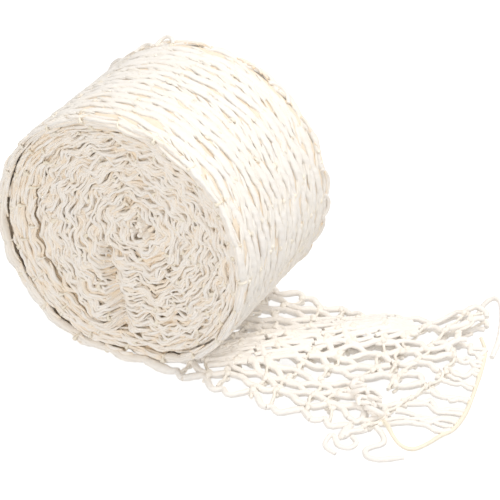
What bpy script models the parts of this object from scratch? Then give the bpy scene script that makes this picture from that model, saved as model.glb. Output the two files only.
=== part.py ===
"""A roll of soft cotton tube net: a flat double layer of net wound on itself, its open end lying loose.

Frame: +X is the way the loose end runs along the floor, +Y is the roll's axis, +Z is up.
The origin is on the floor under the middle of the roll.
"""

import math

import bmesh
import bpy
from mathutils import Vector

# ---------------------------------------------------------------- driving sizes, in metres
CLEARANCE = 0.0003            # gap between touching pieces

ROLL_RADIUS = 0.052           # outside of the outermost turn
WAD_RADIUS = 0.0045           # crumpled start of the band, at its thin side
ROLL_WIDTH = 0.064            # from front rim to back rim
FACE_RECESS = 0.0045          # how far the tight turns sit behind the loose outer rim
RIM_STEP = 0.0018             # how far the second turn sits behind the rim
TURN_COUNT = 14
CONTACT_HALF_ANGLE = 20.0     # degrees each side of straight down where the roll is pressed flat
FACETS_PER_TURN = 40

TURNS_IN_CORE = 2             # turns that push out together with the wad
TURNS_IN_INNER = 3
TURNS_IN_MIDDLE = 4

TAIL_SEGMENT = 0.017          # length of net between two bending lines
TAIL_SEGMENT_COUNT = 4
TAIL_THICKNESS = 0.0028       # two layers of net lying on each other
FLARE_LENGTH = 0.014          # the relaxed net starts to spread this far before the mouth
FLARE_SLOPE = 0.58

RIDGE_HEIGHT = 0.0040         # gathered fold that runs slantwise across the tail
RIDGE_SPREAD = 0.010
RIDGE_FROM = (0.006, -0.024)  # where the fold starts: X past the roll, and Y
RIDGE_TO = (0.001, 0.036)     # where it ends: X past the start of the mouth, and Y
RIDGE_FADE = 0.012

MOUTH_ROOT = 0.0045           # short stretch where the two layers still lie together
NEAR_REACH = 0.0018           # length of the separate layers at the near corner
FAR_REACH = 0.0198            # and at the far corner
FAN_LENGTH = 0.011            # half unravelled last row of the lower layer
LAYER_THICKNESS = 0.0013
FAR_LIFT = 0.0045             # how far the upper layer stands off at its far corner
LIFT_FROM_Y = 0.012
LIFT_RUN = 0.014

TAIL_HINGE_HEIGHT = 0.0070    # bending line on top of the fold

THREAD_DIAMETER = 0.0013      # thin crosswise thread
STRAND_DIAMETER = 0.0019      # soft lengthwise strand
POINT_SPACING = 2.1           # points along a loose strand, in its diameters

PITCH = (ROLL_RADIUS - WAD_RADIUS) / (TURN_COUNT + 1)
BAND_THICKNESS = PITCH - CLEARANCE
CONTACT = math.radians(CONTACT_HALF_ANGLE)
AXIS_HEIGHT = ROLL_RADIUS * math.cos(CONTACT)
TAIL_START = ROLL_RADIUS * math.sin(CONTACT)
FRONT = -ROLL_WIDTH / 2
BACK = ROLL_WIDTH / 2
MOUTH_START = TAIL_START + TAIL_SEGMENT * TAIL_SEGMENT_COUNT
LAYERS_START = MOUTH_START + MOUTH_ROOT
FLARE_START = MOUTH_START - FLARE_LENGTH

COTTON = (0.86, 0.82, 0.74, 1.0)
COTTON_SHADE = (0.78, 0.72, 0.62, 1.0)
IVORY = (0.88, 0.82, 0.68, 1.0)
WHITE = (0.90, 0.88, 0.83, 1.0)

# Routes of the loose threads at the open end: centre points, with X counted from the line where
# the two layers come apart.
PULLED_THREAD_ROUTE = [
    (0.0097, -0.0207, 0.0012), (0.0127, -0.0245, 0.0032), (0.0162, -0.0284, 0.0034),
    (0.0202, -0.0306, 0.0020), (0.0245, -0.0296, 0.0009), (0.0277, -0.0240, 0.0007),
    (0.0300, -0.0175, 0.0007), (0.0325, -0.0120, 0.0007), (0.0327, -0.0020, 0.0007),
    (0.0311, 0.0090, 0.0007), (0.0289, 0.0200, 0.0007), (0.0269, 0.0295, 0.0008),
    (0.0243, 0.0370, 0.0011), (0.0203, 0.0430, 0.0011),
]
EAR_LOOP_ROUTE = [
    (0.0285, 0.0334, 0.0012), (0.0277, 0.0410, 0.0026), (0.0255, 0.0495, 0.0042),
    (0.0223, 0.0575, 0.0054), (0.0193, 0.0628, 0.0056), (0.0163, 0.0642, 0.0050),
    (0.0143, 0.0616, 0.0038), (0.0137, 0.0570, 0.0022), (0.0140, 0.0527, 0.0012),
]
CUT_STRAND_FRONT_ROUTE = [
    (0.0084, -0.0247, 0.0010), (0.0123, -0.0276, 0.0010), (0.0145, -0.0314, 0.0010),
    (0.0123, -0.0348, 0.0010), (0.0105, -0.0380, 0.0010), (0.0131, -0.0412, 0.0010),
    (0.0175, -0.0400, 0.0010), (0.0211, -0.0372, 0.0010), (0.0239, -0.0352, 0.0010),
]
CUT_STRAND_SIDE_ROUTE = [
    (0.0035, -0.0336, 0.0010), (0.0063, -0.0360, 0.0010), (0.0053, -0.0398, 0.0010),
    (0.0015, -0.0406, 0.0010), (-0.0011, -0.0378, 0.0010), (-0.0031, -0.0356, 0.0010),
    (-0.0037, -0.0392, 0.0010), (-0.0023, -0.0432, 0.0010), (0.0025, -0.0451, 0.0010),
]


# ---------------------------------------------------------------- scene helpers
def clear_scene():
    for item in list(bpy.data.objects):
        bpy.data.objects.remove(item, do_unlink=True)


def cotton_material(name, colour, roughness):
    material = bpy.data.materials.new(name)
    material.use_nodes = True
    shader = material.node_tree.nodes["Principled BSDF"]
    shader.inputs["Base Color"].default_value = colour
    shader.inputs["Roughness"].default_value = roughness
    shader.inputs["Metallic"].default_value = 0.0
    return material


def body_frame(name, place, parent=None):
    """An empty on a body's joint axis. Everything that moves with the body is parented to it."""
    frame = bpy.data.objects.new(name, None)
    bpy.context.collection.objects.link(frame)
    frame["place"] = place
    frame.parent = parent
    base = Vector(parent["place"]) if parent else Vector((0, 0, 0))
    frame.location = Vector(place) - base
    return frame


def attach(item, frame, colour, roughness):
    bpy.context.collection.objects.link(item)
    item.parent = frame
    item.data.materials.append(cotton_material(item.name, colour, roughness))


def add_piece(name, bm, frame, colour=COTTON, roughness=0.9):
    """Turns a bmesh in world coordinates into a named object that hangs on its body's frame."""
    bmesh.ops.translate(bm, vec=-Vector(frame["place"]), verts=bm.verts)
    bmesh.ops.recalc_face_normals(bm, faces=bm.faces)
    mesh = bpy.data.meshes.new(name)
    bm.to_mesh(mesh)
    bm.free()
    attach(bpy.data.objects.new(name, mesh), frame, colour, roughness)


# ---------------------------------------------------------------- shapes
def smooth_step(value):
    value = min(max(value, 0.0), 1.0)
    return value * value * (3 - 2 * value)


def turn_stations():
    """Angle from straight down and share of one turn's inward growth, at each corner of the outline."""
    sweep = 2 * math.pi - 2 * CONTACT
    stations = [(-CONTACT, 0.0)]
    for step in range(FACETS_PER_TURN + 1):
        share = step / FACETS_PER_TURN
        stations.append((CONTACT + sweep * share, share))
    return stations


def roll_point(radius, angle, y):
    """A point at a radius and an angle that starts straight down and grows over the -X side."""
    x = -radius * math.sin(angle)
    z = AXIS_HEIGHT - radius * math.cos(angle)
    return (x, y, z)


def inner_radius(turn, share):
    return WAD_RADIUS + CLEARANCE + PITCH * (turn - share)


def front_of(turn):
    recess = FACE_RECESS
    if turn == TURN_COUNT:
        recess = 0.0
    elif turn == TURN_COUNT - 1:
        recess = RIM_STEP
    return FRONT + recess


def bridge_outlines(bm, rings):
    """Closes a tube-like body from equal rings of corners, with both ends capped."""
    made = [[bm.verts.new(corner) for corner in ring] for ring in rings]
    for first, second in zip(made, made[1:]):
        for index in range(len(first)):
            after = (index + 1) % len(first)
            bm.faces.new((first[index], first[after], second[after], second[index]))
    bm.faces.new(made[0])
    bm.faces.new(reversed(made[-1]))


def winding_turn(turn, frame):
    """One turn of the flat double band, from the line where it meets the turn outside it, inwards."""
    stations = turn_stations()
    end_angle = stations[-1][0] - CLEARANCE / inner_radius(turn, 1.0)
    stations[-1] = (end_angle, 1.0)
    rings = []
    for angle, share in stations:
        inside = inner_radius(turn, share)
        outside = inside + BAND_THICKNESS
        rings.append([
            roll_point(inside, angle, front_of(turn)),
            roll_point(outside, angle, front_of(turn)),
            roll_point(outside, angle, BACK),
            roll_point(inside, angle, BACK),
        ])
    bm = bmesh.new()
    bridge_outlines(bm, rings)
    colour = COTTON if turn % 2 else COTTON_SHADE
    add_piece(f"winding_turn_{turn:02d}", bm, frame, colour)


def core_wad(frame):
    """The crumpled start of the band. Its outline is the inside of the first turn."""
    outline = []
    for angle, share in turn_stations():
        outline.append((inner_radius(1, share) - CLEARANCE, angle))
    bm = bmesh.new()
    bridge_outlines(bm, [
        [roll_point(radius, angle, y) for radius, angle in outline]
        for y in (front_of(1), BACK)
    ])
    add_piece("core_wad", bm, frame, COTTON_SHADE)


def far_edge(x):
    return BACK + FLARE_SLOPE * max(x - FLARE_START, 0.0)


def across(x, share):
    """Y at a share of the tail's width, from its near edge to its far edge."""
    return FRONT + (far_edge(x) - FRONT) * share


def ridge_height(x, y):
    """Height of the gathered fold, which crosses the tail slantwise and fades out at both ends."""
    start = Vector((TAIL_START, 0)) + Vector(RIDGE_FROM)
    end = Vector((MOUTH_START, 0)) + Vector(RIDGE_TO)
    along = (end - start).normalized()
    offset = Vector((x, y)) - start
    distance = offset.dot(along)
    side = offset.dot(Vector((-along.y, along.x)))
    fade = smooth_step(distance / RIDGE_FADE)
    fade *= smooth_step(((end - start).length - distance) / RIDGE_FADE)
    return RIDGE_HEIGHT * fade * math.exp(-((side / RIDGE_SPREAD) ** 2))


def far_lift(x, y):
    far_corner = far_edge(LAYERS_START + FAR_REACH)
    rise = smooth_step((y - LIFT_FROM_Y) / (far_corner - LIFT_FROM_Y))
    return FAR_LIFT * rise * smooth_step((x - LAYERS_START) / LIFT_RUN)


def net_slab(name, frame, start_x, end_x, bottom, top, colour=COTTON, steps=(3, 14)):
    """A closed slab of net. end_x is a function of the share across; bottom and top are of x and y."""
    rows, columns = steps
    grids = []
    for height in (bottom, top):
        grid = []
        for row in range(rows + 1):
            line = []
            for column in range(columns + 1):
                share = column / columns
                x = start_x + (end_x(share) - start_x) * row / rows
                y = across(x, share)
                line.append((x, y, height(x, y)))
            grid.append(line)
        grids.append(grid)
    bm = bmesh.new()
    low, high = [[[bm.verts.new(p) for p in line] for line in grid] for grid in grids]
    for row in range(rows):
        for column in range(columns):
            for grid in (low, high):
                bm.faces.new((grid[row][column], grid[row + 1][column],
                              grid[row + 1][column + 1], grid[row][column + 1]))
    border = [(0, c) for c in range(columns)]
    border += [(r, columns) for r in range(rows)]
    border += [(rows, c) for c in range(columns, 0, -1)]
    border += [(r, 0) for r in range(rows, 0, -1)]
    for here, there in zip(border, border[1:] + border[:1]):
        bm.faces.new((low[here[0]][here[1]], low[there[0]][there[1]],
                      high[there[0]][there[1]], high[here[0]][here[1]]))
    add_piece(name, bm, frame, colour)


def floor(_x, _y):
    return 0.0


def tail_top(x, y):
    return TAIL_THICKNESS + ridge_height(x, y)


def smooth_route(route, step):
    """Evenly spaced points on a smooth curve through the route's own points."""
    points = [Vector(p) for p in route]
    points = [2 * points[0] - points[1]] + points + [2 * points[-1] - points[-2]]
    fine = []
    for a, b, c, d in zip(points, points[1:], points[2:], points[3:]):
        for index in range(12):
            t = index / 12
            fine.append(0.5 * (2 * b + (c - a) * t + (2 * a - 5 * b + 4 * c - d) * t * t
                               + (3 * b - a - 3 * c + d) * t ** 3))
    fine.append(points[-2])
    length = sum((q - p).length for p, q in zip(fine, fine[1:]))
    count = max(round(length / step), 4)
    spaced = [fine[0]]
    travelled = 0.0
    for p, q in zip(fine, fine[1:]):
        travelled += (q - p).length
        if travelled >= len(spaced) * length / count - 1e-9:
            spaced.append(q)
    spaced[-1] = fine[-1]
    return spaced


def loose_strand(name, route, diameter, frame, colour):
    curve = bpy.data.curves.new(name, "CURVE")
    curve.dimensions = "3D"
    curve.bevel_depth = diameter / 2
    curve.bevel_resolution = 2
    curve.use_fill_caps = True
    route = [(x + LAYERS_START, y, z) for x, y, z in route]
    points = smooth_route(route, POINT_SPACING * diameter)
    spline = curve.splines.new("POLY")
    spline.points.add(len(points) - 1)
    for slot, point in zip(spline.points, points):
        slot.co = (*(point - Vector(frame["place"])), 1.0)
    attach(bpy.data.objects.new(name, curve), frame, colour, 0.9)


# ---------------------------------------------------------------- sub-assemblies
def build_roll():
    roll = body_frame("roll_frame", (0, 0, AXIS_HEIGHT))
    middle = body_frame("middle_winding_slide", (0, 0, AXIS_HEIGHT), roll)
    inner = body_frame("inner_winding_slide", (0, 0, AXIS_HEIGHT), middle)
    core = body_frame("core_winding_slide", (0, 0, AXIS_HEIGHT), inner)
    core_wad(core)
    inner_first = TURNS_IN_CORE + 1
    middle_first = inner_first + TURNS_IN_INNER
    outer_first = middle_first + TURNS_IN_MIDDLE
    for turn in range(1, TURN_COUNT + 1):
        frame = core
        if turn >= inner_first:
            frame = inner
        if turn >= middle_first:
            frame = middle
        if turn >= outer_first:
            frame = roll
        winding_turn(turn, frame)
    return roll


def build_tail(roll):
    """Stretches of net between bending lines. Each one hangs on the one nearer the roll."""
    frame = roll
    for index in range(TAIL_SEGMENT_COUNT):
        start = TAIL_START + TAIL_SEGMENT * index
        height = TAIL_THICKNESS if index == 0 else TAIL_HINGE_HEIGHT
        frame = body_frame(f"tail_bend_{index + 1}", (start, 0, height), frame)
        end = start + TAIL_SEGMENT
        net_slab(f"tail_net_{index + 1}", frame, start + CLEARANCE, lambda _share, end=end: end,
                 floor, tail_top, COTTON if index % 2 else WHITE, steps=(4, 14))
    return frame


def build_mouth(tail):
    """The open end of the tube, where its two layers come apart."""
    mouth = body_frame("mouth_bend", (MOUTH_START, 0, TAIL_HINGE_HEIGHT), tail)
    net_slab("mouth_root", mouth, MOUTH_START + CLEARANCE, lambda _share: LAYERS_START,
             floor, tail_top, COTTON, steps=(2, 14))

    def end_line(share):
        reach = NEAR_REACH + (FAR_REACH - NEAR_REACH) * math.sqrt(share)
        return LAYERS_START + reach

    def fan_line(share):
        return end_line(share) + FAN_LENGTH * smooth_step(1 - abs(share - 0.5) / 0.32)

    def lower_top(_x, _y):
        return LAYER_THICKNESS

    def upper_bottom(x, y):
        return LAYER_THICKNESS + CLEARANCE + far_lift(x, y)

    def upper_top(x, y):
        return upper_bottom(x, y) + LAYER_THICKNESS

    net_slab("mouth_lower_layer", mouth, LAYERS_START + CLEARANCE, fan_line,
             floor, lower_top, WHITE, steps=(4, 18))
    upper = body_frame("mouth_opening", (LAYERS_START, 0, TAIL_THICKNESS), mouth)
    net_slab("mouth_upper_layer", upper, LAYERS_START + CLEARANCE, end_line,
             upper_bottom, upper_top, COTTON, steps=(4, 18))
    loose_strand("pulled_ring_thread", PULLED_THREAD_ROUTE, THREAD_DIAMETER, mouth, IVORY)
    loose_strand("ear_loop_strand", EAR_LOOP_ROUTE, STRAND_DIAMETER, mouth, WHITE)
    loose_strand("cut_strand_front", CUT_STRAND_FRONT_ROUTE, STRAND_DIAMETER, mouth, WHITE)
    loose_strand("cut_strand_side", CUT_STRAND_SIDE_ROUTE, STRAND_DIAMETER, mouth, WHITE)


def main():
    clear_scene()
    roll = build_roll()
    tail = build_tail(roll)
    build_mouth(tail)


main()
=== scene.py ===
# %% [markdown]
# # A roll of soft cotton tube net
# The real thing is a knitted tube of cotton net, pressed flat so that it lies in two layers, and
# wound on itself like a bandage. Its free end lies on the table and comes apart at the mouth.
# We build it as what it is: every visible strand of yarn is a tube that follows a centre line,
# and every centre line follows one rule, which says where the flat band lies in the roll and on
# the table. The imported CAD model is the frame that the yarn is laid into.
# %% The frame and the tools
import math

import bpy
import numpy as np
from mathutils import Matrix, Vector


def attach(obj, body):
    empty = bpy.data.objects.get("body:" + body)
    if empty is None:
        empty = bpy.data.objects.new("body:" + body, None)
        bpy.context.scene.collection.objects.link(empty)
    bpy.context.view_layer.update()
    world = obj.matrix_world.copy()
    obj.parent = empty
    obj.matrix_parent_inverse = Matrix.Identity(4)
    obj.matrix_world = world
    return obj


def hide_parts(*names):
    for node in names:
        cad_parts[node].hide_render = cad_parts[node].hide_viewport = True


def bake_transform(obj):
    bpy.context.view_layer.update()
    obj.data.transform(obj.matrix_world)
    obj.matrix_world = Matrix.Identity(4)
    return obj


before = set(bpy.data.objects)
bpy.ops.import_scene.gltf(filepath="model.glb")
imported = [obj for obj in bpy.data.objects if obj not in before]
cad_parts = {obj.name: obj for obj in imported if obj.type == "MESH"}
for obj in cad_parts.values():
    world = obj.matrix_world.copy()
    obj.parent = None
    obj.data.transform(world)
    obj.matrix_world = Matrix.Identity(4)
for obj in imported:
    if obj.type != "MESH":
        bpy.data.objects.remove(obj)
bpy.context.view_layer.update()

# %% [markdown]
# ## Camera
# A long lens from the right and above shows the roll's face and its side at once. The camera is
# made first, from its place, the point that it looks at and a slight roll of the picture.
# %% Camera
CAMERA_PLACE = Vector((0.3098, -0.5409, 0.4404))
AZIMUTH, ELEVATION = math.radians(29.8), math.radians(32.4)
ASIDE, BELOW = 0.04154, 0.01807      # how far the picture's middle is from the roll's direction
LENS = 145.1


def aim_camera():
    ahead = Vector((-math.sin(AZIMUTH) * math.cos(ELEVATION),
                    math.cos(AZIMUTH) * math.cos(ELEVATION), -math.sin(ELEVATION)))
    right = Vector((math.cos(AZIMUTH), math.sin(AZIMUTH), 0))
    up = right.cross(ahead)
    look = (ahead + right * ASIDE - up * BELOW).normalized()
    right = (right - look * right.dot(look)).normalized()
    up = right.cross(look)
    data = bpy.data.cameras.new("camera")
    data.lens, data.sensor_width = LENS, 36.0
    data.clip_start, data.clip_end = 0.05, 20.0
    camera = bpy.data.objects.new("camera", data)
    turn = Matrix((right, up, -look)).transposed()
    camera.matrix_world = Matrix.Translation(CAMERA_PLACE) @ turn.to_4x4()
    bpy.context.scene.collection.objects.link(camera)
    bpy.context.scene.camera = camera
    return camera


print("camera looks from", tuple(aim_camera().location))

# %% [markdown]
# ## Node trees as sentences
# Both the yarn's shape and its cotton are node trees. `Value` wraps one socket, so that sums on
# it read as sums, and `Tree.add` makes any other node from its type, its settings and its inputs.
# %% Writing node trees


class Value:
    """One output in a node tree. Sums on it add Math nodes."""

    def __init__(self, tree, socket):
        self.tree, self.socket = tree, socket

    def math(self, operation, *others):
        node = self.tree.add("ShaderNodeMath", {"operation": operation}, {
            index: value for index, value in enumerate((self, *others))})
        return node[0]

    def __add__(self, other): return self.math("ADD", other)
    def __radd__(self, other): return self.math("ADD", other)
    def __sub__(self, other): return self.math("SUBTRACT", other)
    def __rsub__(self, other): return Value.of(self.tree, other).math("SUBTRACT", self)
    def __mul__(self, other): return self.math("MULTIPLY", other)
    def __rmul__(self, other): return self.math("MULTIPLY", other)

    @staticmethod
    def of(tree, number):
        return tree.add("ShaderNodeMath", {"operation": "ADD"}, {0: number, 1: 0.0})[0]


class Node:
    def __init__(self, tree, node):
        self.tree, self.node = tree, node

    def __getitem__(self, key):
        return Value(self.tree, self.node.outputs[key])


class Tree:
    """A node tree that is being written."""

    def __init__(self, nodes):
        self.nodes = nodes

    def add(self, kind, settings=None, inputs=None):
        node = self.nodes.nodes.new(kind)
        for name, value in (settings or {}).items():
            setattr(node, name, value)
        for key, value in (inputs or {}).items():
            if isinstance(value, Value):
                self.nodes.links.new(value.socket, node.inputs[key])
            else:
                node.inputs[key].default_value = value
        return Node(self, node)


# %% [markdown]
# ## Cotton
# The strands are soft, bleached, loosely spun cotton with a fine twist and stray fibres: nearly
# white where the light reaches them, and painted in a warm shade where they lie deep in the
# winding. The thin thread that rings the tube and ties the strands is unbleached and looks ivory.
# Both are one recipe. The yarn carries four numbers along its length: tone, depth (how much
# painted shade it gets), ivory, and its own UV map in metres along the strand and turns around
# it, which the twist follows.
# %% Cotton yarn
WHITE_COTTON = (0.965, 0.930, 0.893, 1)
IVORY_COTTON = (0.95, 0.875, 0.735, 1)
# Warm tan that depth mixes in: painted shade for strands that lie deep in the winding, and a fine
# fibre speckle.
SHADE_AND_FIBRE_TINT = (0.95, 0.74, 0.48, 1)
TWIST_PITCH = 0.0034
PLIES = 2.0


def mix_colour(tree, share, first, second):
    return tree.add("ShaderNodeMix", {"data_type": "RGBA"},
                    {0: share, 6: first, 7: second})[2]


def cotton(name, white, roughness, sheen):
    material = bpy.data.materials.new(name)
    material.use_nodes = True
    tree = Tree(material.node_tree)
    shader = material.node_tree.nodes["Principled BSDF"]

    def carried(what):
        return tree.add("ShaderNodeAttribute", {"attribute_name": what})["Fac"]

    place = tree.add("ShaderNodeTexCoord")["Object"]
    strand = tree.add("ShaderNodeUVMap", {"uv_map": "strand_uv"})["UV"]
    way = tree.add("ShaderNodeSeparateXYZ", inputs={0: strand})
    along, around = way[0], way[1]
    cloud = tree.add("ShaderNodeTexNoise", inputs={
        "Vector": place, "Scale": 160.0, "Detail": 3.0})[0]
    fibre = tree.add("ShaderNodeTexNoise", inputs={
        "Vector": place, "Scale": 1900.0, "Detail": 4.0, "Roughness": 0.65})[0]
    twist = ((along * (1 / TWIST_PITCH) + around * PLIES) * (2 * math.pi)).math("SINE")
    groove = (1 - twist) * 0.5

    base = mix_colour(tree, carried("ivory"), white, IVORY_COTTON)
    soil = carried("tone") * 0.55 + cloud * 0.35
    base = mix_colour(tree, soil * 0.30, base, IVORY_COTTON)
    # Painted shade: depth, and a little the groove of the twist, mix the colour towards the warm
    # tan. Fibre noise adds a fine speckle of it, which is the yarn's own.
    deep = (carried("depth") * 0.85 + groove * 0.05 + (0.5 - fibre) * 0.15).math("MAXIMUM", 0.0)
    base = mix_colour(tree, deep.math("MINIMUM", 1.0), base, SHADE_AND_FIBRE_TINT)
    tree.nodes.links.new(base.socket, shader.inputs["Base Color"])
    height = twist * 0.45 + fibre * 1.6 + cloud * 0.3
    bump = tree.add("ShaderNodeBump", inputs={
        "Strength": 0.5, "Distance": 0.00022, "Height": height})["Normal"]
    tree.nodes.links.new(bump.socket, shader.inputs["Normal"])
    tree.nodes.links.new((fibre * 0.2 + (roughness - 0.1)).socket, shader.inputs["Roughness"])
    shader.inputs["Specular IOR Level"].default_value = 0.18
    shader.inputs["Sheen Weight"].default_value = sheen
    shader.inputs["Sheen Roughness"].default_value = 0.55
    shader.inputs["Sheen Tint"].default_value = (1.0, 0.97, 0.92, 1)
    return material


NET_COTTON = cotton("soft_white_cotton", WHITE_COTTON, 0.92, 0.10)
THREAD_COTTON = cotton("ivory_ring_thread", IVORY_COTTON, 0.85, 0.15)
print("finishes:", [m.name for m in bpy.data.materials if m.users])

# %% [markdown]
# ## One Geometry Nodes tree spins all the yarn
# A strand could be a bevelled curve, but then each would be an object, and a soft strand isn't
# round: it is pressed flat where it lies between others. So the centre lines of one piece go in
# as one mesh of edges that carries a girth, a flatness and the direction that it is pressed in.
# The tree sweeps a ring along them, presses it, and makes the surface uneven as loose yarn is.
# %% The yarn tree


def yarn_tree():
    group = bpy.data.node_groups.new("spin_yarn", "GeometryNodeTree")
    face = group.interface
    inputs = {"Centre lines": "NodeSocketGeometry", "Sides": "NodeSocketInt",
              "Lump size": "NodeSocketFloat", "Lump height": "NodeSocketFloat",
              "Seed": "NodeSocketFloat", "Cotton": "NodeSocketMaterial"}
    keys = {name: face.new_socket(name, in_out="INPUT", socket_type=kind).identifier
            for name, kind in inputs.items()}
    face.new_socket("Yarn", in_out="OUTPUT", socket_type="NodeSocketGeometry")
    tree = Tree(group)
    given = tree.add("NodeGroupInput")

    def carried(what, kind="FLOAT"):
        return tree.add("GeometryNodeInputNamedAttribute", {"data_type": kind},
                        {"Name": what})["Attribute"]

    def keep(geometry, what, value, kind="FLOAT"):
        return tree.add("GeometryNodeStoreNamedAttribute",
                        {"data_type": kind, "domain": "POINT"},
                        {"Geometry": geometry, "Name": what, "Value": value})[0]

    def vector(operation, *values):
        node = tree.add("ShaderNodeVectorMath", {"operation": operation},
                        dict(enumerate(values)))
        return node["Value" if operation in ("DOT_PRODUCT", "LENGTH") else "Vector"]

    place = tree.add("GeometryNodeInputPosition")[0]
    lines = tree.add("GeometryNodeMeshToCurve", inputs={0: given["Centre lines"]})[0]
    lines = tree.add("GeometryNodeSetCurveRadius",
                     inputs={"Curve": lines, "Radius": carried("girth")})[0]
    spline = tree.add("GeometryNodeSplineParameter")
    lines = keep(lines, "along", spline["Length"])
    lines = keep(lines, "centre", place, "FLOAT_VECTOR")
    ring = tree.add("GeometryNodeCurvePrimitiveCircle", {"mode": "RADIUS"},
                    {"Resolution": given["Sides"], "Radius": 1.0})[0]
    ring = keep(ring, "around", spline["Factor"])
    swept = tree.add("GeometryNodeCurveToMesh",
                     inputs={"Curve": lines, "Profile Curve": ring, "Fill Caps": True})
    if "Scale" in swept.node.inputs:
        tree.nodes.links.new(carried("girth").socket, swept.node.inputs["Scale"])
    yarn = swept[0]

    centre, facing = carried("centre", "FLOAT_VECTOR"), carried("facing", "FLOAT_VECTOR")
    proud = vector("DOT_PRODUCT", vector("SUBTRACT", place, centre), facing)
    press = vector("SCALE", facing)
    tree.nodes.links.new((proud * (carried("flat") - 1)).socket,
                         press.socket.node.inputs["Scale"])
    yarn = tree.add("GeometryNodeSetPosition", inputs={"Geometry": yarn, "Offset": press})[0]

    lump = tree.add("ShaderNodeTexNoise", {"noise_dimensions": "4D"}, {
        "Vector": place, "W": given["Seed"], "Scale": given["Lump size"], "Detail": 2.0})[0]
    out = vector("NORMALIZE", vector("SUBTRACT", place, centre))
    swell = vector("SCALE", out)
    height = (lump - 0.5) * given["Lump height"] * carried("girth").math("MINIMUM", 0.0013)
    tree.nodes.links.new(height.socket, swell.socket.node.inputs["Scale"])
    yarn = tree.add("GeometryNodeSetPosition", inputs={"Geometry": yarn, "Offset": swell})[0]
    yarn = tree.add("GeometryNodeSetShadeSmooth", inputs={
        "Geometry": yarn, "Shade Smooth": carried("flat").math("GREATER_THAN", 0.2)})[0]
    yarn = tree.add("GeometryNodeRealizeInstances", inputs={"Geometry": yarn})[0]
    yarn = tree.add("GeometryNodeSetMaterial",
                    inputs={"Geometry": yarn, "Material": given["Cotton"]})[0]
    tree.add("NodeGroupOutput", inputs={"Yarn": yarn})
    return group, keys


YARN_TREE, YARN_KEYS = yarn_tree()
print("yarn tree:", len(YARN_TREE.nodes), "nodes")

# %% [markdown]
# ## Hanks
# A `Hank` collects the centre lines of one piece. `spin` gives them to the tree, turns the result
# into a plain mesh and unrolls each strand into its own strip of the UV map, as a paper label
# comes off a tin, so that a baked picture has room for every strand.
# %% Hanks of yarn


def corner_turns(mesh, around):
    """Turns around the strand at each face corner, without the jump back to 0 in the last face."""
    point = np.zeros(len(mesh.loops), np.int32)
    mesh.loops.foreach_get("vertex_index", point)
    starts = np.zeros(len(mesh.polygons), np.int32)
    mesh.polygons.foreach_get("loop_start", starts)
    turns = around[point]
    high = np.maximum.reduceat(turns, starts)
    sizes = np.diff(np.append(starts, len(point)))
    high = np.repeat(high, sizes)
    four = np.repeat(sizes, sizes) == 4
    return point, np.where(four & (high - turns > 0.5), turns + 1, turns)


def strips(lengths, heights):
    """Lower left corner of each strand's strip on shelves, and the side of the whole square."""
    side = math.sqrt(float((lengths * heights).sum())) * 1.12 + float(lengths.max()) * 0.02
    side = max(side, float(lengths.max()) * 1.01)
    corners, x, y, shelf = [], 0.0, 0.0, 0.0
    for length, height in zip(lengths, heights):
        if x + length > side:
            x, y, shelf = 0.0, y + shelf, 0.0
        corners.append((x, y))
        x += length + 0.0008
        shelf = max(shelf, height)
    return np.array(corners), max(side, y + shelf)


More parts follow.
